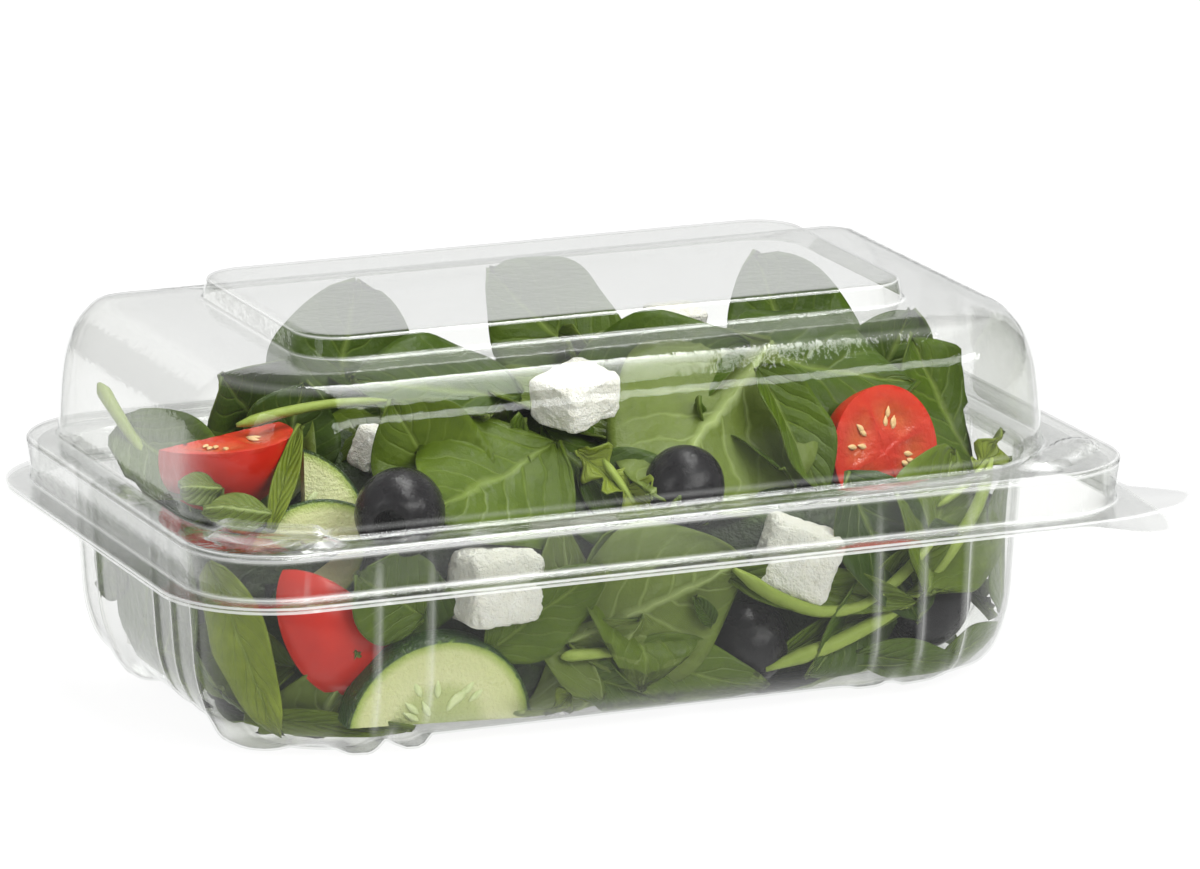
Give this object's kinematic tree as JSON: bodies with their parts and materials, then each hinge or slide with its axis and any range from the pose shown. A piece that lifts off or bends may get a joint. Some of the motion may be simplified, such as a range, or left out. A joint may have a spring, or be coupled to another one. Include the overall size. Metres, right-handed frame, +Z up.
{
  "type": "takeaway meal container",
  "caption": "Clear hinged takeaway box with a domed lid and a ribbed tray on feet, filled with a leafy salad of tomato, cucumber, olives and cheese cubes.",
  "frame": {"origin": "middle of the whole outline, pull tabs and hinge edge included, on the plane that the four feet stand on", "axes": "+X along the container towards the end with the pull tabs, +Y towards the hinge at the back, +Z up"},
  "size_m": [0.2256, 0.142, 0.0859],
  "materials": {
    "clear_sheet": "clear thin moulded sheet, glossy",
    "leaf": "fresh green leaf, satin",
    "tomato": "ripe tomato, moist",
    "cucumber": "cut cucumber, moist",
    "olive": "black olive, satin sheen",
    "feta": "crumbly white cheese, matt"
  },
  "bodies": {
    "tray": {"tray": "clear_sheet", "salad": "leaf", "tomato_left": "tomato", "tomato_right": "tomato", "tomato_low": "tomato", "cucumber_back": "cucumber", "cucumber_middle": "cucumber", "cucumber_low": "cucumber", "olive_left": "olive", "olive_middle": "olive", "olive_right": "olive", "olive_low": "olive", "feta_top": "feta", "feta_front_left": "feta", "feta_front_right": "feta", "feta_small": "feta", "feta_back": "feta", "feta_corner": "feta"},
    "lid": {"lid": "clear_sheet"}
  },
  "joints": [
    {"name": "lid_hinge", "type": "hinge", "parent": "tray", "child": "lid", "pos_m": [0, 0.0713, 0.03965], "axis": [-1, 0, 0], "range_deg": [0, 160]}
  ]
}
